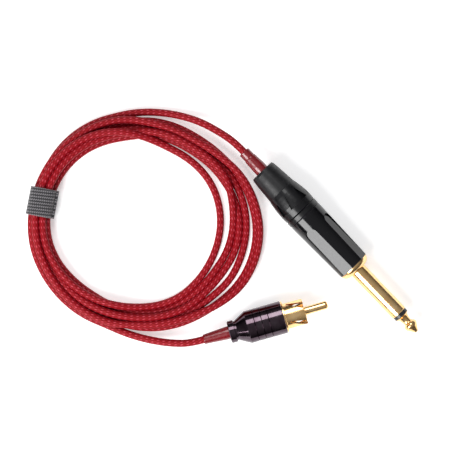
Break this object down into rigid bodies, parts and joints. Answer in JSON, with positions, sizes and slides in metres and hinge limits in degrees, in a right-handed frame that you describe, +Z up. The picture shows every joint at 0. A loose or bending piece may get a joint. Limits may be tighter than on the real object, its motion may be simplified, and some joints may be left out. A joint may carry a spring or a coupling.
{
  "type": "instrument cable",
  "caption": "Thin braided audio cable, coiled and held by a woven tie, with a straight 6.35 mm mono jack plug on one end and a phono plug on the other.",
  "frame": {"origin": "middle of the two plugs' common footprint, on the surface that the cable lies on", "axes": "+Z up from that surface; +X from the coil towards the plugs, along the longer side of the plugs' footprint; +Y from the phono plug towards the jack plug's cable end"},
  "size_m": [0.1493, 0.0907, 0.0142],
  "materials": {
    "boot_rubber": "moulded, satin",
    "satin_black": "black, satin",
    "gloss_black": "black, polished",
    "pale_plastic": "moulded",
    "gold": "gold plated, polished",
    "black_insulator": "moulded",
    "bright_brass": "bright",
    "wire_insulation": "extruded",
    "tinned_copper": "twisted strands",
    "heat_shrink": "dark red, glossy",
    "red_braid": "crimson braided sleeve",
    "gunmetal": "dark plated, polished",
    "red_insulator": "moulded, red",
    "woven_tie": "herringbone webbing"
  },
  "bodies": {
    "plugs_and_cable": {"cable_coil": "red_braid", "cable_end_at_jack": "red_braid", "cable_end_at_rca": "red_braid", "cable_lead_jack": "red_braid", "cable_lead_rca": "red_braid", "cable_tie": "woven_tie", "jack_centre_rod": "bright_brass", "jack_ground_lug": "bright_brass", "jack_ground_sleeve": "gold", "jack_heat_shrink": "heat_shrink", "jack_hot_wire": "wire_insulation", "jack_marker_ring": "satin_black", "jack_rear_insulator": "black_insulator", "jack_shell": "gloss_black", "jack_shield_tail": "tinned_copper", "jack_tip": "gold", "jack_tip_insulator": "black_insulator", "jack_tip_lug": "bright_brass", "rca_body": "gold", "rca_centre_pin": "gold", "rca_dielectric": "red_insulator", "rca_ground_clamp": "bright_brass", "rca_heat_shrink": "heat_shrink", "rca_hot_wire": "wire_insulation", "rca_shield": "gold", "rca_shield_tail": "tinned_copper"},
    "jack_chuck": {"jack_chuck": "pale_plastic"},
    "jack_nut": {"jack_gland_nut": "satin_black", "jack_boot": "boot_rubber"},
    "rca_liner": {"rca_insulating_sleeve": "black_insulator"},
    "rca_shell": {"rca_barrel": "gunmetal"}
  },
  "joints": [
    {"name": "jack_chuck_travel", "type": "slide", "parent": "plugs_and_cable", "child": "jack_chuck", "axis": [-0.6939, 0.7198, 0.0206], "range_m": [0, 0.0055]},
    {"name": "jack_nut_turn", "type": "hinge", "parent": "jack_chuck", "child": "jack_nut", "pos_m": [-0.01565, 0.02359, 0.00728], "axis": [-0.6939, 0.7198, 0.0206], "range_deg": [0, 1980]},
    {"name": "rca_liner_travel", "type": "slide", "parent": "plugs_and_cable", "child": "rca_liner", "axis": [-0.9622, -0.2723, 0], "range_m": [0, 0.00413]},
    {"name": "rca_shell_turn", "type": "hinge", "parent": "rca_liner", "child": "rca_shell", "pos_m": [-0.02847, -0.02827, 0.0063], "axis": [-0.9622, -0.2723, 0], "range_deg": [0, 1980]}
  ],
  "couplings": [
    {"joint": "jack_chuck_travel", "follows": "jack_nut_turn", "m_per_rad": 0.00015915},
    {"joint": "rca_liner_travel", "follows": "rca_shell_turn", "m_per_rad": 0.00011936}
  ]
}
